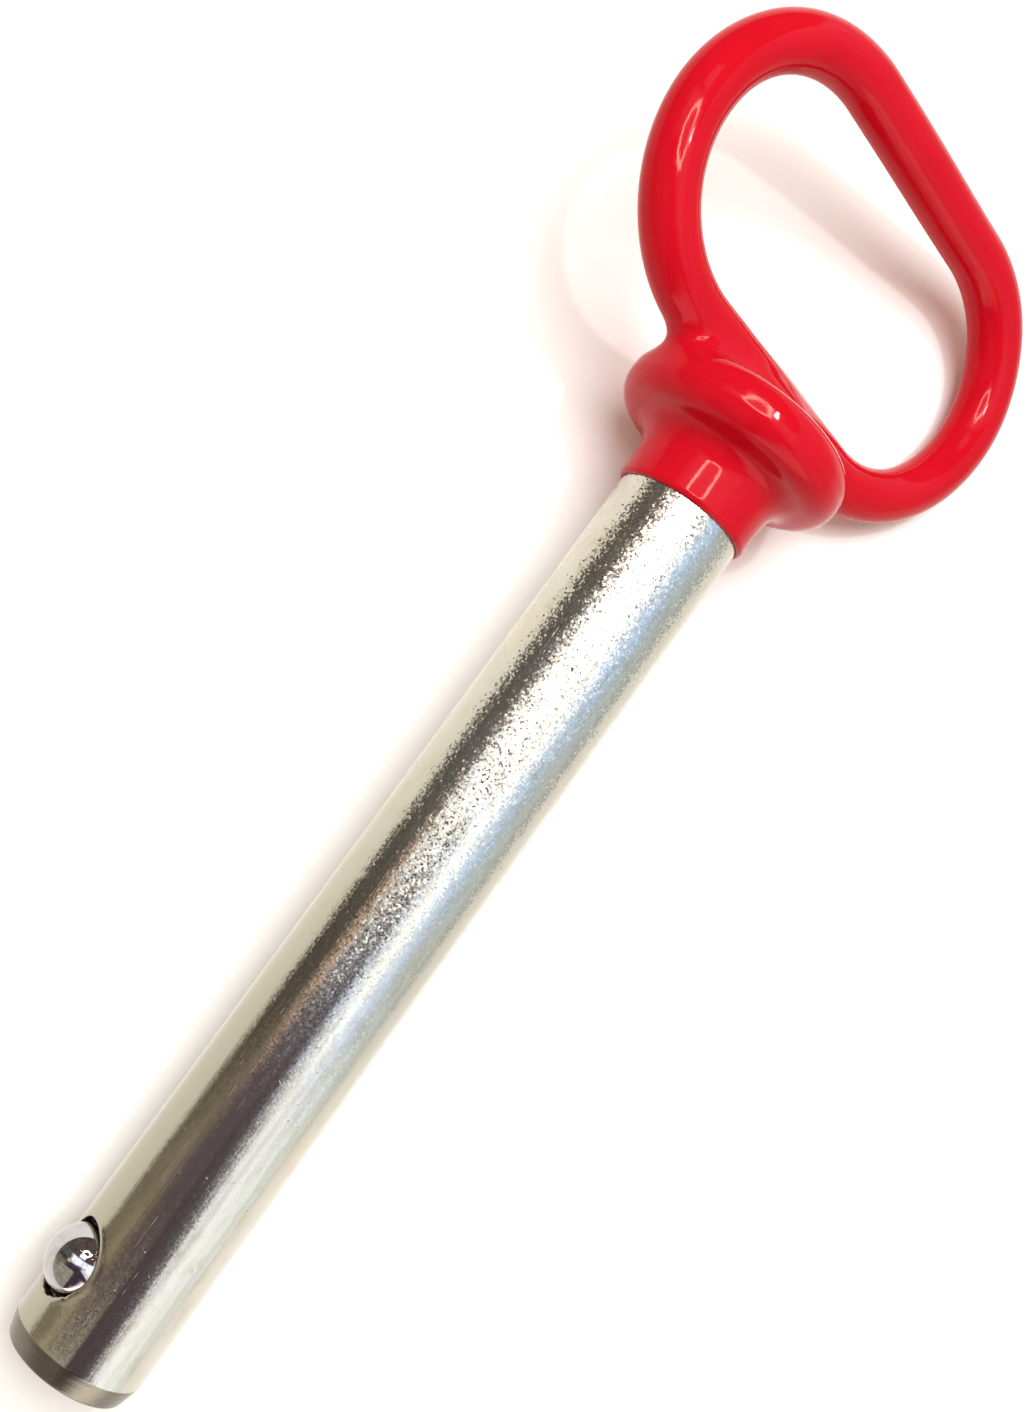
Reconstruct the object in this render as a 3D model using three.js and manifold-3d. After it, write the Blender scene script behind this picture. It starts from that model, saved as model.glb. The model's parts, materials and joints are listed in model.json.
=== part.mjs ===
// Drawbar hitch pin with a fixed loop handle and a spring-loaded detent ball.
//
// The pin is modelled in its own frame: X runs along the bar from the tip face to the handle,
// Y lies in the plane of the handle loop and points to the side the ball stands out of, and Z is
// square to the loop. The finished pin is then laid on the ground, where it rests on the corner
// of its tip, the rim of its collar and one end of its loop. Millimetres, ground at z = 0.

import * as THREE from 'three';
import { mergeVertices } from 'three/addons/utils/BufferGeometryUtils.js';
import Module from 'manifold-3d';

const wasm = await Module();
wasm.setup();

// ---- Bar ----
const pinDiameter = 25.4;
const gripLength = 184; // bare bar, from the tip face to the lower edge of the coating
const tipFaceDiameter = 23;
const tipChamferLength = 4.1;
const neckLength = 13.6; // bar under the coating, up to the collar
const spigotDiameter = 16; // reduced end of the bar, which passes through the collar
const spigotStand = 1; // how far the spigot stands past the collar

// ---- Detent ball, its hole and its spring ----
const ballDiameter = 12.7;
const ballStand = 3.5; // how far the ball stands out of the bar
const ballFromTip = 17;
const ballClearance = 0.25; // ball to the wall of its hole
const lipGrip = 0.05; // how far each staked lip closes in over the ball
const lipClearance = 0.02; // ball at rest to the staked lips
const holeMouthEase = 0.45; // extra half length of the mouth, along the bar
const drillPointAngle = THREE.MathUtils.degToRad(118);
const springWire = 1.1;
const springTurns = 4.5;
const springClearance = 1.45; // spring to the wall of the hole
const springReserve = 1; // length left over when the ball is pressed flush

// ---- Collar ----
const collarDiameter = 44.6;
const collarThickness = 9;
const collarEdgeRadius = 4;
const collarWeldLeg = 1.8;

// ---- Handle loop: round rod, two straights and two half turns ----
const rodDiameter = 9.525;
const loopBendRadius = 27.5; // to the middle of the rod
const loopStraight = 41.8;
const rodButtGap = 1; // between the rod's two ends, over the spigot
const handleWeldLength = 17;
const handleWeldSize = 6.4;

// ---- Dipped vinyl coating ----
const rodCoat = 0.85;
const collarCoat = 1.2;
const neckEdgeCoat = 1.05;
const neckTopCoat = 2.2;
const neckFillet = 2.6; // between the neck and the underside of the collar

// ---- Fits ----
const seatGap = 0.3; // between pieces that are pressed, welded or dipped together

// ---- Facets ----
const barSegments = 64;
const turnedSegments = 40;
const edgeSteps = 3; // along a quarter round
const rodSides = 12;
const coatSides = 16;
const loopHalfSteps = 30;
const springSides = 6;
const springStepsPerTurn = 14;

// ---- Worked out from the sizes above ----
const pinRadius = pinDiameter / 2;
const ballRadius = ballDiameter / 2;
const holeRadius = ballRadius + ballClearance;
const ballHeight = pinRadius + ballStand - ballRadius; // ball centre, above the bar's axis
const lipHalfWidth = ballRadius - lipGrip;
const lipHeight = ballHeight + Math.sqrt(ballRadius ** 2 - (lipHalfWidth - lipClearance) ** 2);
const drillPointSlope = 1 / Math.tan(drillPointAngle / 2);
const springSeat = springWire / 2 + seatGap; // middle of the wire to what the spring bears on
const springRadius = holeRadius - springClearance - springWire / 2;
const springTop = ballHeight - Math.sqrt((ballRadius + springSeat) ** 2 - springRadius ** 2);
const springBottom = springTop - springTurns * springWire - ballStand - springReserve;
const drillPointHeight = springBottom - springSeat / Math.sin(drillPointAngle / 2)
  - springRadius * drillPointSlope;
const collarUnderside = gripLength + neckLength;
const collarTop = collarUnderside + collarThickness;
const collarMiddle = (collarUnderside + collarTop) / 2;
const collarRadius = collarDiameter / 2;
const spigotRadius = spigotDiameter / 2;
const spigotEnd = collarTop + spigotStand;
const rodRadius = rodDiameter / 2;
const barMiddle = spigotEnd + seatGap + rodRadius; // middle line of the loop's lower straight
const loopMiddle = barMiddle + loopBendRadius;
const coatedRodRadius = rodRadius + rodCoat;
const coatedCollarRadius = collarRadius + collarCoat;
const coatedEdgeRadius = collarEdgeRadius + collarCoat;
const weldCentre = spigotEnd + handleWeldSize / 4;

// ---- Helpers ----

// A BufferGeometry as a manifold solid.
function solid(geometry) {
  const bare = geometry.clone();
  bare.deleteAttribute('normal');
  bare.deleteAttribute('uv');
  const merged = mergeVertices(bare, 1e-4);
  return new wasm.Manifold(new wasm.Mesh({
    numProp: 3,
    vertProperties: new Float32Array(merged.attributes.position.array),
    triVerts: new Uint32Array(merged.index.array),
  }));
}

// A manifold solid as a BufferGeometry.
function geometryOf(body) {
  const mesh = body.getMesh();
  const geometry = new THREE.BufferGeometry();
  geometry.setAttribute('position', new THREE.BufferAttribute(mesh.vertProperties, 3));
  geometry.setIndex(new THREE.BufferAttribute(mesh.triVerts, 1));
  geometry.computeVertexNormals();
  return geometry;
}

// Points of an arc about (x, y), from one angle to another, in degrees.
function arc(x, y, radius, from, to, steps) {
  const points = [];
  for (let i = 0; i <= steps; i += 1) {
    const angle = THREE.MathUtils.degToRad(from + (to - from) * i / steps);
    points.push([x + radius * Math.cos(angle), y + radius * Math.sin(angle)]);
  }
  return points;
}

// A turned shape: profile points are [radius, place along the axis], which starts as Y.
function turned(profile, segments) {
  return new THREE.LatheGeometry(profile.map(([r, x]) => new THREE.Vector2(r, x)), segments);
}

// The same, turned about the bar's axis.
function turnedAlongBar(profile, segments) {
  return turned(profile, segments).rotateZ(-Math.PI / 2);
}

function circleShape(radius, sides) {
  const shape = new THREE.Shape();
  for (let i = 0; i < sides; i += 1) {
    const angle = 2 * Math.PI * i / sides;
    const move = i === 0 ? 'moveTo' : 'lineTo';
    shape[move](radius * Math.cos(angle), radius * Math.sin(angle));
  }
  return shape;
}

function roundAlong(curve, radius, sides, steps) {
  return new THREE.ExtrudeGeometry(circleShape(radius, sides), { steps, extrudePath: curve });
}

// Part of the loop's middle line, measured from the middle of its lower straight towards +Y.
class LoopCurve extends THREE.Curve {
  constructor(from, to) {
    super();
    this.from = from;
    this.to = to;
  }

  getPoint(t, target = new THREE.Vector3()) {
    const bend = Math.PI * loopBendRadius;
    const round = 2 * (loopStraight + bend);
    let s = ((this.from + (this.to - this.from) * t) % round + round) % round;
    let side = 1;
    if (s > round / 2) {
      s = round - s;
      side = -1;
    }
    if (s <= loopStraight / 2) {
      return target.set(barMiddle, side * s, 0);
    }
    if (s <= loopStraight / 2 + bend) {
      const angle = (s - loopStraight / 2) / loopBendRadius;
      const y = loopStraight / 2 + loopBendRadius * Math.sin(angle);
      return target.set(loopMiddle - loopBendRadius * Math.cos(angle), side * y, 0);
    }
    return target.set(barMiddle + 2 * loopBendRadius, side * (loopStraight + bend - s), 0);
  }
}

const loopLength = 2 * (loopStraight + Math.PI * loopBendRadius);

// The whole loop as one closed ring of a given thickness.
function loopRing(radius, sides = rodSides) {
  const overlap = 1;
  const halves = [0, loopLength / 2].map((start) => {
    const curve = new LoopCurve(start - overlap, start + loopLength / 2 + overlap);
    return solid(roundAlong(curve, radius, sides, loopHalfSteps));
  });
  return halves[0].add(halves[1]);
}

// A turned disc with rounded edges, closed on the bar's axis.
function roundedDisc(radius, under, top, edge) {
  return solid(turnedAlongBar([
    [0, under],
    ...arc(radius - edge, under + edge, edge, -90, 0, edgeSteps),
    ...arc(radius - edge, top - edge, edge, 0, 90, edgeSteps),
    [0, top],
  ], turnedSegments));
}

// An egg-shaped weld bead beside the rod, over the spigot; side is 1 or -1 along Z.
function weldEgg(side, grow) {
  const half = handleWeldSize / 2 + grow;
  const egg = new THREE.SphereGeometry(1, 16, 10);
  egg.scale(half, handleWeldLength / 2 + grow, half);
  egg.translate(weldCentre, 0, side * rodRadius);
  return solid(egg);
}

const steelFinish = { color: 0xc9c8bd, roughness: 0.3, metalness: 1 };
const rawSteelFinish = { color: 0x7d7a76, roughness: 0.55, metalness: 1 };
const pin = new THREE.Group();

function addPiece(name, geometry, finish) {
  const mesh = new THREE.Mesh(geometry, new THREE.MeshStandardMaterial(finish));
  mesh.name = name;
  pin.add(mesh);
}

// ---- Bar: turned, chamfered at the tip, cross-drilled for the ball ----
function barGeometry() {
  const bar = solid(turnedAlongBar([
    [0, 0],
    [tipFaceDiameter / 2, 0],
    [pinRadius, tipChamferLength],
    [pinRadius, collarUnderside],
    [spigotRadius, collarUnderside],
    [spigotRadius, spigotEnd],
    [0, spigotEnd],
  ], barSegments));
  const drilled = solid(turned([
    [0, drillPointHeight],
    [holeRadius, drillPointHeight + holeRadius * drillPointSlope],
    [holeRadius, lipHeight],
    [0, lipHeight],
  ], turnedSegments).translate(ballFromTip, 0, 0));
  const mouthTop = pinRadius + ballRadius;
  const mouth = turned([
    [0, ballHeight],
    [1, ballHeight],
    [1, mouthTop],
    [0, mouthTop],
  ], turnedSegments);
  mouth.scale(holeRadius + holeMouthEase, 1, lipHalfWidth);
  mouth.translate(ballFromTip, 0, 0);
  return geometryOf(bar.subtract(drilled).subtract(solid(mouth)));
}

// ---- Spring: stands on the drill point and bears on the underside of the ball ----
class SpringCurve extends THREE.Curve {
  getPoint(t, target = new THREE.Vector3()) {
    const angle = 2 * Math.PI * springTurns * t;
    const height = springBottom + (springTop - springBottom) * t;
    const x = ballFromTip + springRadius * Math.cos(angle);
    return target.set(x, height, springRadius * Math.sin(angle));
  }
}

function springGeometry() {
  const steps = Math.round(springTurns * springStepsPerTurn);
  return roundAlong(new SpringCurve(), springWire / 2, springSides, steps);
}

// ---- Collar: thick washer with rounded edges, seated on the bar's shoulder ----
function collarGeometry() {
  const bore = spigotRadius + seatGap;
  const under = collarUnderside + seatGap;
  const edge = collarRadius - collarEdgeRadius;
  return turnedAlongBar([
    [bore, under],
    ...arc(edge, under + collarEdgeRadius, collarEdgeRadius, -90, 0, edgeSteps),
    ...arc(edge, collarTop - collarEdgeRadius, collarEdgeRadius, 0, 90, edgeSteps),
    [bore, collarTop],
    [bore, under],
  ], turnedSegments);
}

// ---- Fillet weld under the collar ----
function collarWeldGeometry() {
  const inner = pinRadius + seatGap;
  return turnedAlongBar([
    [inner, collarUnderside - collarWeldLeg],
    [inner + collarWeldLeg, collarUnderside],
    [inner, collarUnderside],
    [inner, collarUnderside - collarWeldLeg],
  ], turnedSegments);
}

// ---- Rod of the loop: bent round until its ends all but meet over the spigot ----
function rodGeometry() {
  const gap = new THREE.BoxGeometry(rodDiameter + 1, rodButtGap, rodDiameter + 1);
  gap.translate(barMiddle, 0, 0);
  return geometryOf(loopRing(rodRadius).subtract(solid(gap)));
}

// ---- Weld beads that hold the loop on the spigot and collar ----
function handleWeldGeometry(side) {
  const spigotTop = roundedDisc(spigotRadius + seatGap, 0, spigotEnd + seatGap, seatGap);
  const washer = roundedDisc(collarRadius, collarUnderside, collarTop + seatGap, seatGap);
  const rod = loopRing(rodRadius + seatGap);
  return geometryOf(weldEgg(side, 0).subtract(rod).subtract(spigotTop).subtract(washer));
}

// ---- Coating: one dipped skin over the loop, collar and neck, open at the neck's lower edge ----
function coatingGeometry() {
  const coatUnder = collarUnderside - collarCoat;
  const filletEdge = pinRadius + neckTopCoat + neckFillet;
  const neck = solid(turnedAlongBar([
    [0, gripLength],
    [pinRadius + neckEdgeCoat, gripLength],
    ...arc(filletEdge, coatUnder - neckFillet, neckFillet, 180, 90, edgeSteps),
    [filletEdge, collarMiddle],
    [0, collarMiddle],
  ], turnedSegments));
  const disc = roundedDisc(
    coatedCollarRadius,
    coatUnder,
    collarTop + collarCoat,
    coatedEdgeRadius,
  );
  const beadCover = seatGap + rodCoat;
  const outside = loopRing(coatedRodRadius, coatSides)
    .add(disc)
    .add(neck)
    .add(weldEgg(1, beadCover))
    .add(weldEgg(-1, beadCover));

  const boreRadius = pinRadius + seatGap;
  const weldRadius = boreRadius + seatGap + collarWeldLeg;
  const bore = solid(turnedAlongBar([
    [0, gripLength - 1],
    [boreRadius, gripLength - 1],
    [boreRadius, collarUnderside - collarWeldLeg - 2 * seatGap],
    [weldRadius, collarUnderside],
    [0, collarUnderside],
  ], turnedSegments));
  const washer = roundedDisc(
    collarRadius + seatGap,
    collarUnderside - seatGap,
    collarTop + seatGap,
    collarEdgeRadius + seatGap,
  );
  const spigot = roundedDisc(spigotRadius + seatGap, collarMiddle, spigotEnd + seatGap, seatGap);
  return geometryOf(outside
    .subtract(bore)
    .subtract(washer)
    .subtract(spigot)
    .subtract(loopRing(rodRadius + seatGap))
    .subtract(weldEgg(1, seatGap))
    .subtract(weldEgg(-1, seatGap)));
}

const ball = new THREE.SphereGeometry(ballRadius, 28, 16).translate(ballFromTip, ballHeight, 0);

addPiece('pin_bar', barGeometry(), steelFinish);
addPiece('detent_ball', ball, { color: 0xd8d8da, roughness: 0.05, metalness: 1 });
addPiece('detent_spring', springGeometry(), rawSteelFinish);
addPiece('stop_collar', collarGeometry(), rawSteelFinish);
addPiece('collar_weld', collarWeldGeometry(), rawSteelFinish);
addPiece('handle_rod', rodGeometry(), rawSteelFinish);
addPiece('handle_weld_upper', handleWeldGeometry(1), rawSteelFinish);
addPiece('handle_weld_lower', handleWeldGeometry(-1), rawSteelFinish);
addPiece('handle_coating', coatingGeometry(), { color: 0xe3121f, roughness: 0.15, metalness: 0 });

// ---- Resting pose on the ground ----

// Tilt of the bar's axis: the tip corner and the collar's rounded rim both touch the ground.
const rimCentreRadius = coatedCollarRadius - coatedEdgeRadius;
const along = collarMiddle - tipChamferLength;
const across = rimCentreRadius - pinRadius;
const tilt = Math.atan2(across, along) + Math.asin(coatedEdgeRadius / Math.hypot(across, along));

// Roll about the bar's axis: the end of the loop at -Y touches the ground too.
const groundHeight = tipChamferLength * Math.sin(tilt) - pinRadius * Math.cos(tilt);
const room = loopMiddle * Math.sin(tilt) - groundHeight - coatedRodRadius;
const halfStraight = loopStraight / 2;
const lift = room ** 2 - (loopBendRadius * Math.sin(tilt)) ** 2;
const slope = lift / (room * halfStraight + Math.sqrt(
  (room * halfStraight) ** 2 + (loopBendRadius ** 2 - halfStraight ** 2) * lift,
));
const roll = Math.asin(slope / Math.cos(tilt));

pin.rotation.x = roll;
const tilted = new THREE.Group();
tilted.rotation.y = -tilt;
tilted.add(pin);
const part = new THREE.Group();
part.add(tilted);

// The origin is on the ground, under the middle of the pin's box.
const box = new THREE.Box3().setFromObject(part, true);
const middle = box.getCenter(new THREE.Vector3());
tilted.position.set(-middle.x, -middle.y, -box.min.z);

export default part;
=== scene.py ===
# A drawbar hitch pin with a dipped loop handle and a spring-loaded ball near its tip, laid on a
# plain white surface. Each section is one piece of it, in the order in which it is put together.

import json
import math

import bmesh
import bpy
import numpy as np
from mathutils import Euler, Matrix, Vector


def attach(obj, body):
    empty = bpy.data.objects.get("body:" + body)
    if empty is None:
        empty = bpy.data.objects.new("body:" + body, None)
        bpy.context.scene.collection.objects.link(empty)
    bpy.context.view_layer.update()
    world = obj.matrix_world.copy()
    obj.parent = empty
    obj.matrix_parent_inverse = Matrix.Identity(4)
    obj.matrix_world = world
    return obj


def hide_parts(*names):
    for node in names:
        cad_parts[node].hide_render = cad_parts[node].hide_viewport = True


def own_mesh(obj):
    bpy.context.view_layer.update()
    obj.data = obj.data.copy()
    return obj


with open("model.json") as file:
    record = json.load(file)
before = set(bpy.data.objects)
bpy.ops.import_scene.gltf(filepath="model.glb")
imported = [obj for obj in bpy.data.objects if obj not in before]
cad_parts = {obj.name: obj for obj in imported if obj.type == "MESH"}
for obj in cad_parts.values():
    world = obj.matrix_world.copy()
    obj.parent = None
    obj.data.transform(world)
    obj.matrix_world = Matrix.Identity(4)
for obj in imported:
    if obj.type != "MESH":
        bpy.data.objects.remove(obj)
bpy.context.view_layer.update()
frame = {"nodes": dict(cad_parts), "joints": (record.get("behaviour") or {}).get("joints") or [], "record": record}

# ---- Bar ----
# A length of round steel, chamfered at the tip, turned down to a spigot at the handle end and
# cross-drilled for the ball. The hole's edge is staked over the ball, and the bar is zinc plated.

bar_radius = 12.7
tip_face_radius = 11.5
chamfer_length = 4.1
chamfer_rounding = 1.2
edge_rounding = 0.5
shoulder = 197.6
spigot_radius = 8
spigot_end = 207.6
bar_sides = 240

ball_from_tip = 17
hole_radius = 6.6
hole_bottom = -4.93
drill_point = -8.9
mouth_half_length = 7.05
mouth_half_width = 6.3
lip_height = 10.79
lip_undercut = 0.2
ridge_height = 0.14
ridge_width = 0.3
ridge_from_mouth = 0.75

# Turned profiles start and end this far off the axis, so that a flat face closes them.
by_axis = 0.02

# The bar's own frame: X from the tip face to the handle, Y towards the ball, in millimetres.
MM = 0.001
tip_face = frame["record"]["mounts"][0]
along_bar = -Vector(tip_face["axis"])
towards_ball = -Vector(frame["joints"][0]["axis"])
bar_axes = Matrix((along_bar, towards_ball, along_bar.cross(towards_ball))).transposed()
as_it_lies = Matrix.Translation(tip_face["pos_m"]) @ bar_axes.to_4x4()


def make_piece(name, points, faces, sharp_above=40):
    """A smooth-shaded mesh from points in the bar's frame, laid as the pin lies."""
    mesh = bpy.data.meshes.new(name)
    mesh.from_pydata((np.asarray(points, float) * MM).tolist(), [], faces)
    mesh.transform(as_it_lies)
    shell = bmesh.new()
    shell.from_mesh(mesh)
    bmesh.ops.recalc_face_normals(shell, faces=shell.faces)
    shell.to_mesh(mesh)
    shell.free()
    mesh.shade_smooth()
    mesh.set_sharp_from_angle(angle=math.radians(sharp_above))
    made = bpy.data.objects.new(name, mesh)
    bpy.context.scene.collection.objects.link(made)
    return made


def rounded(corners):
    """A profile through (along, radius, rounding) corners."""
    steps = 4
    path = []
    for i, (along, radius, rounding) in enumerate(corners):
        corner = np.array((along, radius), float)
        if rounding == 0:
            path.append(corner)
            continue
        back = np.array(corners[i - 1][:2]) - corner
        on = np.array(corners[i + 1][:2]) - corner
        back /= np.linalg.norm(back)
        on /= np.linalg.norm(on)
        half = math.acos(back @ on) / 2
        centre = corner + (back + on) / np.linalg.norm(back + on) * rounding / math.sin(half)
        start = corner + back * rounding / math.tan(half) - centre
        end = corner + on * rounding / math.tan(half) - centre
        turn = math.pi - 2 * half
        for k in range(steps + 1):
            share = k / steps
            arm = start * math.sin((1 - share) * turn) + end * math.sin(share * turn)
            path.append(centre + arm / math.sin(turn))
    return np.array(path)


def turned(profile, sides):
    """Points and quads of a profile turned about the bar's axis.

    Row i, side j is point i * sides + j, and the quads are looked up by (i, j).
    """
    around = 2 * np.pi * np.arange(sides) / sides
    points = [
        (along, radius * math.cos(a), radius * math.sin(a))
        for along, radius in profile
        for a in around
    ]
    quads = {
        (i, j): tuple(
            (i + di) * sides + (j + dj) % sides for di, dj in ((0, 0), (1, 0), (1, 1), (0, 1))
        )
        for i in range(len(profile) - 1)
        for j in range(sides)
    }
    return points, quads


def make_bar():
    """The bar, with a patch of rings round the hole let into the turned surface."""
    # The patch spans the hole, with as many steps along the bar as around it.
    patch_half = 11.4
    patch_steps = 60
    plain_gap = 4
    patch_rows = np.linspace(-patch_half, patch_half, patch_steps + 1) + ball_from_tip
    shank_rows = np.linspace(patch_rows[-1] + plain_gap, shoulder - plain_gap, 30)
    tip = rounded([
        (0, by_axis, 0),
        (0, tip_face_radius, edge_rounding),
        (chamfer_length, bar_radius, chamfer_rounding),
        (shoulder, bar_radius, 0),
    ])[:-1]
    end = rounded([
        (shoulder - 2, bar_radius, 0),
        (shoulder, bar_radius, edge_rounding / 2),
        (shoulder, spigot_radius, 0),
        (spigot_end, spigot_radius, edge_rounding),
        (spigot_end, by_axis, 0),
    ])
    straight = [(x, bar_radius) for x in [*patch_rows, *shank_rows]]
    profile = [*tip, *straight, *end]
    points, quads = turned(profile, bar_sides)

    first = len(tip)
    last = first + patch_steps
    half = patch_steps // 2
    for i in range(first, last):
        for j in range(-half, half):
            del quads[i, j % bar_sides]
    border = [(first, j) for j in range(-half, half)]
    border += [(i, half) for i in range(first, last)]
    border += [(last, j) for j in range(half, -half, -1)]
    border += [(i, -half) for i in range(last, first, -1)]
    border = [i * bar_sides + j % bar_sides for i, j in border]

    # The mouth is an oval, a little ragged on its tip side where the punch struck.
    outer = np.array([points[b] for b in border])[:, (0, 2)] - (ball_from_tip, 0)
    mouth = np.array((mouth_half_length, mouth_half_width))
    turn = np.arctan2(outer[:, 1] / mouth[1], outer[:, 0] / mouth[0])
    edge = np.stack((np.cos(turn), np.sin(turn)), 1)
    at_ends = edge[:, 0] ** 2
    tip_side = np.clip(-edge[:, 0], 0, 1) ** 0.5
    ragged = 0.0084 * np.sin(9 * turn) + 0.0098 * np.sin(17 * turn + 1) + 0.007 * np.sin(31 * turn)
    inner = edge * mouth * (1 + tip_side * (ragged - 0.02))[:, None]
    span = np.linalg.norm(outer - inner, axis=1)
    away = (outer - inner) / span[:, None]

    rings = [border]

    def add_ring(across, height):
        rings.append(list(range(len(points), len(points) + len(border))))
        points.extend(zip(across[:, 0] + ball_from_tip, height, across[:, 1]))

    # Rings close in on the mouth, over a low ridge that the punch pushed up and round the rim.
    rim = 0.12 + 0.25 * at_ends
    pushed_up = ridge_height * (0.35 + 0.65 * (1 - at_ends))
    near = np.array((1.5, 1.1, 0.8, 0.55, 0.37, 0.25, 0.15, 0.07, 0.02, 0))
    far = [near[0] + (span - near[0]) * share for share in (0.8, 0.6, 0.4, 0.2)]
    for out in [*far, *[np.full(len(border), n) for n in near]]:
        across = inner + away * out[:, None]
        drop = rim - np.sqrt(np.maximum(rim ** 2 - np.maximum(rim - out, 0) ** 2, 0))
        ridge = pushed_up * np.exp(-((out - ridge_from_mouth) / ridge_width) ** 2)
        radius = bar_radius - drop + ridge
        tilt = np.arcsin(np.clip(across[:, 1] / bar_radius, -1, 1))
        add_ring(np.stack((across[:, 0], radius * np.sin(tilt)), 1), radius * np.cos(tilt))

    # From the rim under the lip, down the bore and into the drill's cone.
    bore = edge * hole_radius
    add_ring(inner, np.full(len(border), lip_height))
    for height in np.linspace(lip_height - lip_undercut, hole_bottom, 10):
        add_ring(bore, np.full(len(border), height))
    for share in (0.75, 0.5, 0.25, 0.03):
        depth = drill_point + (hole_bottom - drill_point) * share
        add_ring(bore * share, np.full(len(border), depth))
    faces = list(quads.values())
    for above, below in zip(rings, rings[1:]):
        for k in range(len(border)):
            n = (k + 1) % len(border)
            faces.append((above[k], above[n], below[n], below[k]))
    faces.append(tuple(rings[-1]))
    faces.append(tuple(range(bar_sides)))
    faces.append(tuple(range((len(profile) - 1) * bar_sides, len(profile) * bar_sides)))
    return make_piece("bar", points, faces)


class Shade:
    """A value, colour or vector in a shader. Arithmetic on it adds Math nodes to its tree."""

    def __init__(self, tree, socket=None):
        self.tree = tree
        self.socket = socket

    def node(self, kind, settings, inputs, output=0):
        """Adds a node: its settings first, then the values or links of its sockets."""
        made = self.tree.nodes.new("ShaderNode" + kind)
        for name, value in settings.items():
            setattr(made, name, value)
        for name, value in inputs.items():
            if isinstance(value, Shade):
                self.tree.links.new(value.socket, made.inputs[name])
            else:
                made.inputs[name].default_value = value
        return Shade(self.tree, made.outputs[output])

    def math(self, operation, *others):
        return self.node("Math", {"operation": operation}, dict(enumerate((self, *others))))

    def __add__(self, other):
        return self.math("ADD", other)

    def __sub__(self, other):
        return self.math("SUBTRACT", other)

    def __rsub__(self, other):
        return self.node("Math", {"operation": "SUBTRACT"}, {0: other, 1: self})

    def __mul__(self, other):
        return self.math("MULTIPLY", other)

    __radd__ = __add__
    __rmul__ = __mul__

    def rise(self, low, high):
        """0 below low, 1 above high, smooth between."""
        limits = {"Value": self, "From Min": low, "From Max": high}
        return self.node("MapRange", {"interpolation_type": "SMOOTHSTEP"}, limits)

    def fall(self, low, high):
        """1 below low, 0 above high, smooth between."""
        return 1 - self.rise(low, high)

    def mix(self, low, high):
        """A colour from low, where this is 0, to high, where it is 1."""
        return self.node("Mix", {"data_type": "RGBA"}, {0: self, 6: low, 7: high}, 2)

    def vector(self, operation, *others, output=0):
        sockets = dict(enumerate((self, *others)))
        return self.node("VectorMath", {"operation": operation}, sockets, output)

    def stretched(self, x, y, z):
        return self.vector("MULTIPLY", (x, y, z))

    def scaled(self, amount):
        """A vector or colour made longer or brighter by an amount."""
        return self.node("VectorMath", {"operation": "SCALE"}, {0: self, "Scale": amount})

    def part(self, axis):
        """One of a vector's X, Y and Z."""
        return self.node("SeparateXYZ", {}, {0: self}, axis)

    def noise(self, scale, detail=3.0, roughness=0.5):
        amounts = {"Vector": self, "Scale": scale, "Detail": detail, "Roughness": roughness}
        return self.node("TexNoise", {}, amounts)

    def cells(self, scale, output="Color"):
        """Crystals: a colour of its own for each, or the distance from its middle."""
        return self.node("TexVoronoi", {}, {"Vector": self, "Scale": scale}, output)

    def feed(self, surface, name):
        self.tree.links.new(self.socket, surface.inputs[name])

    def bump(self, surface, depth, base=None):
        """Raises the surface by this height times depth, in millimetres."""
        heights = {"Height": self, "Distance": depth * MM}
        if base is not None:
            heights["Normal"] = base
        self.node("Bump", {}, heights).feed(surface, "Normal")


def new_finish(name, **constants):
    """A material, the place on the piece in millimetres, and its surface shader."""
    material = bpy.data.materials.new(name)
    material.use_nodes = True
    tree = material.node_tree
    surface = tree.nodes["Principled BSDF"]
    for socket, value in constants.items():
        surface.inputs[socket.replace("_", " ")].default_value = value
    metres = Shade(tree).node("TexCoord", {}, {}, "Object")
    to_bar = Matrix.Scale(1 / MM, 4) @ as_it_lies.inverted()
    mapping = {
        "Vector": metres,
        "Location": to_bar.to_translation(),
        "Rotation": to_bar.to_euler(),
        "Scale": to_bar.to_scale(),
    }
    return material, Shade(tree).node("Mapping", {"vector_type": "POINT"}, mapping), surface


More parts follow.
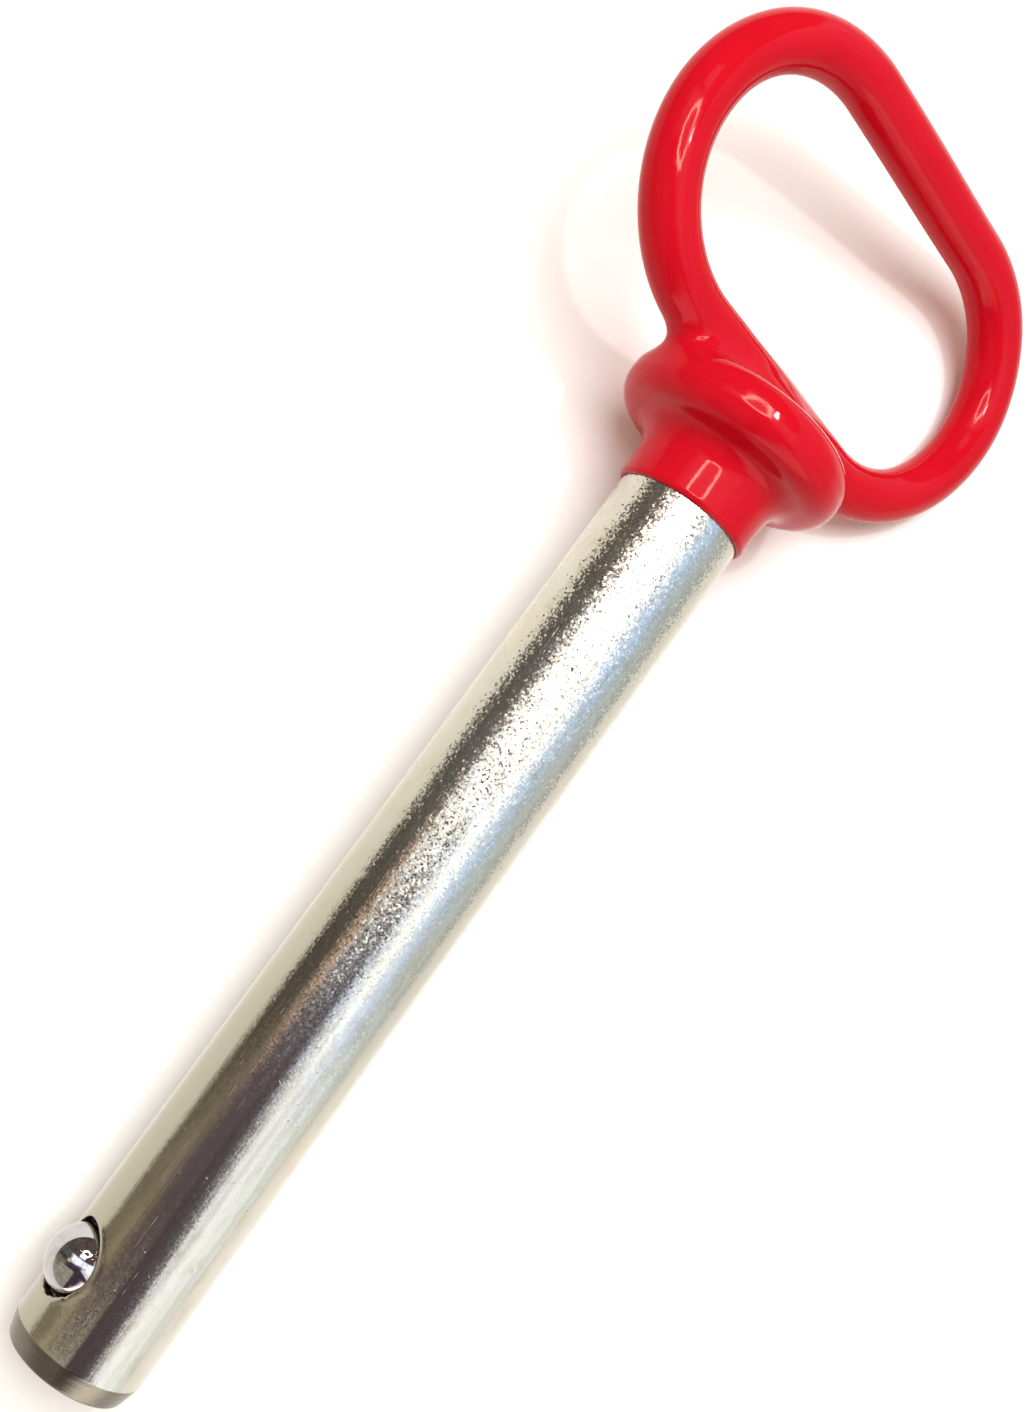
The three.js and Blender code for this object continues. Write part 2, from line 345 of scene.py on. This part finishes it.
def zinc_plate():
    """Bright zinc over drawn steel: spangle, draw lines, scratches, stains, pits, passivate and painted shade."""
    material, place, surface = new_finish("zinc_plate", Metallic=1.0)
    along = place.part("X")
    chamfer = along.fall(chamfer_length - 0.1, chamfer_length + 0.15)
    coarser_end = along.rise(50, 165)
    from_axis = place.stretched(0, 1, 1).vector("LENGTH", output="Value")
    in_hole = from_axis.fall(bar_radius - 0.9, bar_radius - 0.35) * along.rise(5, 6)

    # The passivate is yellowish. Along the ball's side and low on the other, the zinc is painted duller.
    patches = place.stretched(0.3, 1, 1).noise(0.12, 4)
    stains = place.stretched(0.4, 1, 1).noise(0.5, 5, 0.65)
    colour = patches.rise(0.35, 0.65).mix((0.62, 0.61, 0.55, 1), (0.63, 0.59, 0.49, 1))
    colour = (stains.rise(0.45, 0.7) * 0.55).mix(colour, (0.50, 0.46, 0.34, 1))
    # Painted reflection: these two strips stand in for the shaded floor that the bar mirrors there.
    shaded_ball_side = place.part("Y").rise(11, 12.5)
    colour = (shaded_ball_side * (0.95 - coarser_end * 0.6)).mix(colour, (0.41, 0.395, 0.31, 1))
    shaded_low_side = place.part("Y").rise(-8.8, -6) * place.part("Y").fall(-3.6, -1.2)
    colour = (along.rise(30, 90) * shaded_low_side * 0.9).mix(colour, (0.47, 0.46, 0.40, 1))
    pits = place.cells(0.55, "Distance").fall(0.05, 0.13) * place.noise(0.3).rise(0.5, 0.6)
    colour = (pits * 0.7).mix(colour, (0.16, 0.14, 0.11, 1))
    colour = (chamfer * 0.9).mix(colour, (0.13, 0.115, 0.095, 1))
    # Painted shade: inside the hole the zinc is painted nearly black, as shade in the recess.
    in_hole.mix(colour, (0.11, 0.10, 0.09, 1)).feed(surface, "Base Color")

    # Each crystal of the spangle leans its own way: most hardly at all, a few strongly.
    tilts = place.cells(2.8).vector("SUBTRACT", (0.5, 0.5, 0.5))
    few_strong = tilts.vector("MULTIPLY", tilts).vector("MULTIPLY", tilts)
    few_strong = few_strong.scaled(0.1 + coarser_end * 1.35)
    tilts = tilts.scaled(0.012).vector("ADD", few_strong).scaled(1 - chamfer)
    spangled = place.node("NewGeometry", {}, {}, "Normal").vector("ADD", tilts).vector("NORMALIZE")
    grain = place.noise(2.6, 1)
    drawn = place.stretched(0.02, 1.6, 1.6).noise(1.0, 4, 0.7)
    waves = place.stretched(0.008, 0.4, 0.4).noise(1.0, 2)
    scratched = place.stretched(0.12, 3.5, 3.5).noise(1.0, 2).rise(0.72, 0.78)
    grooves = place.stretched(2.6, 0.04, 0.04).noise(1.0, 3, 0.6)
    plate = grain * (0.12 + coarser_end * 0.33) + drawn * 0.3 + waves * 0.8
    plate = plate - scratched * 0.2 - pits * 0.6
    height = plate * (1 - chamfer) + grooves * chamfer * 1.2
    height.bump(surface, 0.06, spangled)

    rough = 0.09 + coarser_end * 0.03 + grain * 0.06 + stains * 0.08 + scratched * 0.1
    (rough + chamfer * 0.12 + in_hole * 0.3).feed(surface, "Roughness")
    return material


bar = make_bar()
bar.data.materials.append(zinc_plate())
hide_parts("pin_bar")
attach(bar, "pin")

# ---- Spring ----
# Compression spring of drawn wire, standing on the drill point and pushing the ball out. On the real
# pin it closes up by the ball's travel when the ball is pressed in; here it is built at one length.

spring_wire = 1.1
spring_turns = 4.5
spring_radius = 4.6
spring_bottom = -5.14
spring_top = 4.31


def make_spring():
    """Wire wound round the axis of the ball's hole."""
    sides = 12
    steps = int(spring_turns * 40)
    points = []
    for i in range(steps + 1):
        share = i / steps
        turn = 2 * np.pi * spring_turns * share
        height = spring_bottom + (spring_top - spring_bottom) * share
        for k in range(sides):
            a = 2 * np.pi * k / sides
            out = spring_radius + spring_wire / 2 * math.cos(a)
            up = height + spring_wire / 2 * math.sin(a)
            points.append((ball_from_tip + out * math.cos(turn), up, out * math.sin(turn)))
    faces = [
        (i * sides + k, i * sides + (k + 1) % sides,
         (i + 1) * sides + (k + 1) % sides, (i + 1) * sides + k)
        for i in range(steps)
        for k in range(sides)
    ]
    faces.append(tuple(range(sides)))
    faces.append(tuple(range(steps * sides, (steps + 1) * sides)))
    return make_piece("spring", points, faces)


def oiled_wire():
    """Drawn spring wire, dark from its heat treatment, with an oil film in patches."""
    material, place, surface = new_finish("oiled_wire", Metallic=1.0)
    film = place.noise(1.2, 4).rise(0.4, 0.65)
    film.mix((0.36, 0.34, 0.32, 1), (0.20, 0.18, 0.17, 1)).feed(surface, "Base Color")
    (0.42 - film * 0.2).feed(surface, "Roughness")
    place.noise(9, 2).bump(surface, 0.01)
    return material


spring = make_spring()
spring.data.materials.append(oiled_wire())
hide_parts("detent_spring")
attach(spring, "pin")
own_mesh(spring)

# ---- Ball ----
# Hardened bearing ball, ground and polished. It is dropped in on the spring and held in the hole
# by the two staked lips.

ball_radius = 6.35
ball_height = 9.85


def make_ball():
    """A ball without poles: the six sides of a cube blown up to the ball's radius."""
    blank = bmesh.new()
    bmesh.ops.create_cube(blank, size=2)
    bmesh.ops.subdivide_edges(blank, edges=blank.edges, cuts=31, use_grid_fill=True)
    for corner in blank.verts:
        corner.co = corner.co.normalized() * ball_radius + Vector((ball_from_tip, ball_height, 0))
    points = [corner.co[:] for corner in blank.verts]
    faces = [tuple(corner.index for corner in face.verts) for face in blank.faces]
    blank.free()
    return make_piece("ball", points, faces)


def polished_steel():
    """Mirror polish with hairline scuffs and a faint film of grease."""
    material, place, surface = new_finish("polished_steel", Metallic=1.0)
    film = place.noise(0.5, 4).rise(0.45, 0.7)
    scuffs = place.stretched(0.4, 3, 3).noise(1.5, 2).rise(0.68, 0.74)
    film.mix((0.52, 0.51, 0.52, 1), (0.44, 0.42, 0.41, 1)).feed(surface, "Base Color")
    (0.03 + film * 0.04 + scuffs * 0.08).feed(surface, "Roughness")
    (scuffs + place.noise(0.6, 1)).bump(surface, 0.004)
    return material


ball = make_ball()
ball.data.materials.append(polished_steel())
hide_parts("detent_ball")
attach(ball, "ball")

# ---- Steel inside the handle ----
# A thick washer welded on the bar's shoulder, and a rod bent into a loop, its ends butted over
# the spigot between two weld beads. All of it is plain steel under the coating.


def mill_steel(name, clean, scaled, weld=False):
    """Hot-rolled steel with patches of scale; a weld has ripples across its bead as well."""
    material, place, surface = new_finish(name, Metallic=1.0)
    scale = place.noise(0.4, 5, 0.6).rise(0.42, 0.62)
    scale.mix((*clean, 1), (*scaled, 1)).feed(surface, "Base Color")
    (0.4 + scale * 0.25).feed(surface, "Roughness")
    height = place.noise(1.5, 4) + scale * 0.4
    if weld:
        ripples = (place.part("Y") + place.noise(0.4) * 1.5) * 5
        height = height * 0.4 + ripples.math("SINE")
    height.bump(surface, 0.08)
    return material


steel = mill_steel("mill_steel", (0.42, 0.41, 0.40), (0.20, 0.19, 0.20))
weld_metal = mill_steel("weld_metal", (0.46, 0.43, 0.38), (0.22, 0.19, 0.24), weld=True)
inside_handle = {
    "stop_collar": steel,
    "handle_rod": steel,
    "collar_weld": weld_metal,
    "handle_weld_upper": weld_metal,
    "handle_weld_lower": weld_metal,
}
for node, finish in inside_handle.items():
    frame["nodes"][node].data.materials.clear()
    frame["nodes"][node].data.materials.append(finish)

# ---- Handle coating ----
# One skin of red vinyl from dipping the hot handle end: it rounds every edge, fills the corners
# where rod, collar and welds meet, and ends in a thin rolled lip on the bar.

grip_length = 184
loop_middle = 240.16
loop_bend = 27.5
loop_half_straight = 20.9
rod_skin_radius = 5.6125
collar_skin_radius = 23.5
collar_skin_edge = 5.2
collar_skin_half = 5.7
collar_middle = 202.1
neck_lip_radius = 13.75
neck_flare = 1.3
neck_flare_power = 2.6
bead_middle = (209.2, 0, 4.7625)
bead_skin = (4.35, 9.65, 4.35)
corner_fill = 6
neck_fill = 5
lip_rounding = 1.1
unevenness = 0.055
bore_clearance = 0.12
bore_sides = 192
skin_step = 0.62
skin_from = (182.5, -56, -25)
skin_to = (276, 56, 25)


def blended(a, b, fill):
    """The union of two distance fields, with the corner between them filled."""
    near = np.maximum(fill - np.abs(a - b), 0) / fill
    return np.minimum(a, b) - near * near * fill / 4


def from_loop(p):
    """Distance to the middle line of the loop's rod."""
    past_straight = np.maximum(np.abs(p[..., 1]) - loop_half_straight, 0)
    out = np.hypot(p[..., 0] - loop_middle, past_straight) - loop_bend
    return np.hypot(out, p[..., 2])


def from_disc(p, radius, half, edge):
    """Distance to a disc on the bar's axis at the collar, with rounded edges."""
    out = np.hypot(p[..., 1], p[..., 2]) - radius + edge
    up = np.abs(p[..., 0] - collar_middle) - half + edge
    outside = np.hypot(np.maximum(out, 0), np.maximum(up, 0))
    return outside + np.minimum(np.maximum(out, up), 0) - edge


def from_bead(p, side):
    """Rough distance to a weld bead's egg shape."""
    sizes = np.array(bead_skin)
    middle = np.array(bead_middle) * (1, 1, side)
    return (np.linalg.norm((p - middle) / sizes, axis=-1) - 1) * sizes.min()


def from_neck(p):
    """Distance to the sleeve on the bar, flared towards the collar and rounded at its lip."""
    share = np.clip((p[..., 0] - grip_length) / (shoulder - grip_length), 0, 1)
    flare = neck_flare * share ** neck_flare_power
    out = np.hypot(p[..., 1], p[..., 2]) - neck_lip_radius - flare
    return -blended(-out, p[..., 0] - grip_length, lip_rounding)


def from_skin(p):
    """Distance to the outside of the coating."""
    neck = np.maximum(from_neck(p), p[..., 0] - collar_middle)
    collar = from_disc(p, collar_skin_radius, collar_skin_half, collar_skin_edge)
    body = blended(collar, neck, neck_fill)
    loop = from_loop(p) - rod_skin_radius
    body = blended(body, loop, corner_fill)
    body = blended(body, from_bead(p, 1), corner_fill)
    body = blended(body, from_bead(p, -1), corner_fill)

    # Dipped vinyl never dries quite even.
    x, y, z = p[..., 0] / 6.5, p[..., 1] / 7.5, p[..., 2] / 6.0
    uneven = np.sin(x + 0.8 * z) * np.sin(y + 0.5) + 0.6 * np.sin(1.7 * z + y) * np.sin(x * 1.3)
    return body + unevenness * (1 + uneven)


def slope(field, p):
    """Which way, and how fast, a distance field grows."""
    step = 0.04
    sides = []
    for axis in np.eye(3) * step:
        sides.append((field(p + axis) - field(p - axis)) / (2 * step))
    return np.stack(sides, -1)


def skinned(field, low, high):
    """Points and quads over a distance field's surface, one point for each grid cell it crosses."""
    axes = [np.arange(a, b, skin_step) for a, b in zip(low, high)]
    grid = np.stack(np.meshgrid(*axes, indexing="ij"), -1)
    inside = field(grid) < 0
    corners = sum(
        inside[i:len(axes[0]) - 1 + i, j:len(axes[1]) - 1 + j, k:len(axes[2]) - 1 + k].astype(int)
        for i in (0, 1) for j in (0, 1) for k in (0, 1)
    )
    crossed = (corners > 0) & (corners < 8)
    number = np.full(crossed.shape, -1)
    number[crossed] = np.arange(crossed.sum())
    points = grid[:-1, :-1, :-1][crossed] + skin_step / 2
    quads = []
    for axis in range(3):
        u = (axis + 1) % 3
        v = (axis + 2) % 3
        filled = np.moveaxis(inside, (axis, u, v), (0, 1, 2))
        cell = np.moveaxis(number, (axis, u, v), (0, 1, 2))
        change = filled[:-1, 1:-1, 1:-1] != filled[1:, 1:-1, 1:-1]
        around = [
            cell[:, b:cell.shape[1] - 1 + b, c:cell.shape[2] - 1 + c][change]
            for b, c in ((0, 0), (1, 0), (1, 1), (0, 1))
        ]
        quads.append(np.stack(around, -1))
    quads = np.concatenate(quads)
    for smoothing in range(4):
        # Even out the quads, then put the points back on the surface.
        total = np.zeros_like(points)
        count = np.zeros(len(points))
        for k in range(4):
            np.add.at(total, quads[:, k], points[quads[:, k - 1]] + points[quads[:, k - 3]])
            np.add.at(count, quads[:, k], 2)
        points = total / count[:, None]
        for closing in range(3):
            grow = slope(field, points)
            points -= grow * (field(points) / np.sum(grow * grow, -1))[:, None]
    return points, quads


def make_coating():
    """The outside of the skin, opened along the bar."""
    points, quads = skinned(from_skin, skin_from, skin_to)
    coating = make_piece("coating", points, quads.tolist(), sharp_above=180)
    bore_start = grip_length - 3
    bore_end = shoulder - 0.2
    bore_radius = bar_radius + bore_clearance
    bore = [
        (bore_start, by_axis),
        (bore_start, bore_radius),
        (bore_end, bore_radius),
        (bore_end, by_axis),
    ]
    bore_points, bore_quads = turned(bore, bore_sides)
    bore_caps = [tuple(range(row * bore_sides, (row + 1) * bore_sides)) for row in (0, 3)]
    cutter = make_piece("bore_cutter", bore_points, [*bore_quads.values(), *bore_caps])
    cut = coating.modifiers.new("bore", "BOOLEAN")
    cut.object = cutter
    cut.solver = "EXACT"
    graph = bpy.context.evaluated_depsgraph_get()
    opened = bpy.data.meshes.new_from_object(coating.evaluated_get(graph))
    coating.modifiers.clear()
    coating.data = opened
    bpy.data.objects.remove(cutter)

    # The outside is shaded by the field's own slope, the bore and the cut edge by their faces.
    laid = np.empty(len(opened.vertices) * 3)
    opened.vertices.foreach_get("co", laid)
    to_bar = np.array(as_it_lies.inverted())
    places = (laid.reshape(-1, 3) @ to_bar[:3, :3].T + to_bar[:3, 3]) / MM
    opened.shade_smooth()
    opened.set_sharp_from_angle(angle=math.radians(60))
    normals = slope(from_skin, places)
    normals /= np.linalg.norm(normals, axis=1)[:, None]
    off_skin = np.abs(from_skin(places)) > 0.01
    at_bore = np.hypot(places[:, 1], places[:, 2]) < neck_lip_radius - 0.8
    normals[off_skin | at_bore] = 0
    opened.normals_split_custom_set_from_vertices((normals @ np.array(bar_axes).T).tolist())
    return coating


def red_vinyl():
    """Glossy dipped vinyl: slightly uneven skin, fine orange peel, a few scuffs and specks."""
    material, place, surface = new_finish("red_vinyl", Specular_IOR_Level=0.10)
    depth = place.noise(0.08, 3)
    specks = place.cells(0.35, "Distance").fall(0.03, 0.07)
    scuffs = place.stretched(1, 0.25, 1).noise(1.4, 3).rise(0.66, 0.74)
    colour = depth.mix((0.445, 0.003, 0.010, 1), (0.515, 0.005, 0.014, 1))
    (specks * 0.5).mix(colour, (0.30, 0.01, 0.01, 1)).feed(surface, "Base Color")
    (0.07 + depth * 0.04 + scuffs * 0.12).feed(surface, "Roughness")
    (place.noise(0.22, 2) + place.noise(1.6, 2) * 0.05 - specks * 0.1).bump(surface, 0.06)
    return material


coating = make_coating()
coating.data.materials.append(red_vinyl())
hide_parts("handle_coating")
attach(coating, "pin")

# ---- Floor ----
# A wide sheet of smooth white paper, lying flat under the pin. It catches the shadows and isn't
# one of the pin's pieces.

floor_half = 2.5
sheet = bpy.data.meshes.new("floor")
corners = [(-1, -1), (1, -1), (1, 1), (-1, 1)]
sheet.from_pydata([(x * floor_half, y * floor_half, 0) for x, y in corners], [], [(0, 1, 2, 3)])
floor = bpy.data.objects.new("floor", sheet)
bpy.context.scene.collection.objects.link(floor)
paper, place, surface = new_finish("paper", Specular_IOR_Level=0.2)
fibres = place.noise(0.8, 4)
fibres.mix((0.90, 0.885, 0.87, 1), (0.92, 0.905, 0.89, 1)).feed(surface, "Base Color")
(0.6 + fibres * 0.1).feed(surface, "Roughness")
sheet.materials.append(paper)

# ---- Light ----
# A room for the steel to mirror, pale on one side and dark on the other, with a bright ceiling
# panel. A broad soft lamp overhead casts the shadows. A small ring lamp and a spot hang near the
# camera.

world = bpy.data.worlds.new("room")
world.use_nodes = True
bpy.context.scene.world = world
room = Shade(world.node_tree)

# Lean is how far a direction points towards the handle. Across is its angle from straight up, in
# degrees, positive on the dark side.
direction = room.node("TexCoord", {}, {}, "Generated")
lean = direction.part("X")
across = direction.part("Y").math("ARCTAN2", direction.part("Z")) * math.degrees(1)

far_side = lean.rise(-0.25, -0.05).mix((1.27, 1.31, 1.31, 1), (0.68, 0.76, 0.80, 1))
far_light = lean.rise(-0.25, -0.05).mix((1.30, 1.29, 1.35, 1), (0.76, 1.00, 1.48, 1))
far_side = across.rise(-68, -48).mix(far_side, far_light)
low_wall = lean.rise(-0.25, -0.12).mix((0.32, 0.265, 0.195, 1), (0.09, 0.075, 0.065, 1))
low_wall = lean.rise(-0.08, 0.02).mix(low_wall, (0.15, 0.145, 0.14, 1))
overhead = lean.rise(-0.17, -0.08).mix((0.10, 0.07, 0.09, 1), (0.20, 0.21, 0.32, 1))
near_side = across.rise(38, 56).mix(overhead, low_wall)
lit_corner = lean.fall(-0.42, -0.37) * across.rise(6, 16)
near_side = lit_corner.mix(near_side, (0.50, 0.46, 0.36, 1))
shade_edge = (lean * 145 + 23).math("MINIMUM", -5)
room_light = (across - shade_edge).rise(-6, 6).mix(far_side, near_side)

strip = lean.rise(-0.22, -0.14) * across.rise(-40, -26) * across.fall(-19, -8)
panel = (lean + across * 0.002).rise(-0.08, 0.05) * across.rise(-42, -20)
panel = panel * (across - lean * 30).fall(31, 46)
panel = panel.math("MAXIMUM", strip)
room_light = panel.mix(room_light, (1.92, 2.02, 2.15, 1))
lampshade = lean.rise(-0.19, -0.13) * lean.fall(-0.03, 0.03)
lampshade = lampshade * across.rise(35, 40) * across.fall(47, 52)
room_light = lampshade.mix(room_light, (1.15, 0.84, 0.64, 1))
beyond = lean.rise(0.24, 0.30) * across.rise(-34, -28)
room_light = beyond.mix(room_light, (0.15, 0.115, 0.10, 1))
window = lean.rise(0.33, 0.35) * lean.fall(0.50, 0.52) * across.rise(2, 4) * across.fall(24, 26)
room_light = window.mix(room_light, (2.5, 2.6, 2.8, 1))
tip_light = lean.fall(-0.66, -0.5) * across.fall(-50, -20)
room_light = tip_light.mix(room_light, (3.3, 3.1, 2.8, 1))
behind_floor = across.math("ABSOLUTE").rise(95, 110)
room_light = behind_floor.mix(room_light, (0.85, 0.82, 0.75, 1))

# Only what mirrors the room sees it. The rest is lit by a plain warm glow.
clutter = direction.noise(5, 2).rise(0.35, 0.65)
room_light = room_light.scaled(0.8 + clutter * 0.4)
mirrored = room.node("LightPath", {}, {}, "Is Glossy Ray")
seen = room.node("LightPath", {}, {}, "Is Camera Ray")
backdrop = mirrored.mix((0.60, 0.515, 0.42, 1), room_light)
backdrop = seen.mix(backdrop, (0.60, 0.53, 0.45, 1))
background = world.node_tree.nodes["Background"]
backdrop.feed(background, "Color")


def add_lamp(name, place, aim, width, power, colour, seen_in_gloss):
    """A square area lamp, placed and aimed in metres."""
    light = bpy.data.lights.new(name, "AREA")
    light.shape = "SQUARE"
    light.size = width
    light.energy = power
    light.color = colour
    lamp = bpy.data.objects.new(name, light)
    lamp.location = place
    lamp.rotation_euler = (Vector(aim) - Vector(place)).to_track_quat("-Z", "Y").to_euler()
    lamp.visible_camera = False
    lamp.visible_glossy = seen_in_gloss
    bpy.context.scene.collection.objects.link(lamp)


add_lamp("soft_overhead", place=(0.26, 0.10, 1.0), aim=(0, 0, 0), width=0.65, power=11.3,
         colour=(0.94, 0.98, 1), seen_in_gloss=False)

# The ring lamp is a flat oval band that glows, facing the handle's collar.
ring_middle = Vector((0.105, 0.058, 0.300))
ring_aim = Vector((0.053, 0, 0.03))
ring_facing = (ring_aim - ring_middle).normalized()
ring_side = ring_facing.cross(Vector((0, 1, 0))).normalized()
ring_up = ring_side.cross(ring_facing)
ring_radii = (0.046, 0.060)
ring_stretch = 1.25
ring_steps = 48
ring_points = []
for k in range(ring_steps):
    a = 2 * math.pi * k / ring_steps
    out = ring_side * math.cos(a) + ring_up * math.sin(a) * ring_stretch
    ring_points += [ring_middle + out * radius for radius in ring_radii]
ring_faces = [(2 * k, 2 * k + 1, (2 * k + 3) % (2 * ring_steps), (2 * k + 2) % (2 * ring_steps))
              for k in range(ring_steps)]
ring_mesh = bpy.data.meshes.new("ring_lamp")
ring_mesh.from_pydata(ring_points, [], ring_faces)
glow = new_finish("ring_glow", Base_Color=(0, 0, 0, 1), Roughness=1,
                  Emission_Color=(1, 0.72, 0.62, 1), Emission_Strength=60)[0]
ring_mesh.materials.append(glow)
ring_lamp = bpy.data.objects.new("ring_lamp", ring_mesh)
bpy.context.scene.collection.objects.link(ring_lamp)
ring_lamp.visible_camera = False
ring_lamp.visible_diffuse = False
ring_lamp.visible_shadow = False
spot_place = ring_middle + ring_side * 0.03 - ring_up * 0.09
add_lamp("spot", place=spot_place, aim=ring_aim, width=0.014, power=0.18,
         colour=(0.95, 0.95, 1), seen_in_gloss=True)

# ---- Camera ----
# Close above the pin, looking down at it from over its tip end. It is near enough for the tip to
# look larger than it would from far off.

camera_data = bpy.data.cameras.new("camera")
camera_data.lens = 38.402
camera_data.sensor_width = 36
camera_data.clip_start = 0.01
camera = bpy.data.objects.new("camera", camera_data)
camera.location = (-0.04628, 0.05714, 0.28446)
camera.rotation_euler = Euler([math.radians(a) for a in (1.387, -14.947, -53.846)])
bpy.context.scene.collection.objects.link(camera)
bpy.context.scene.camera = camera
bpy.context.scene.view_settings.view_transform = "Standard"
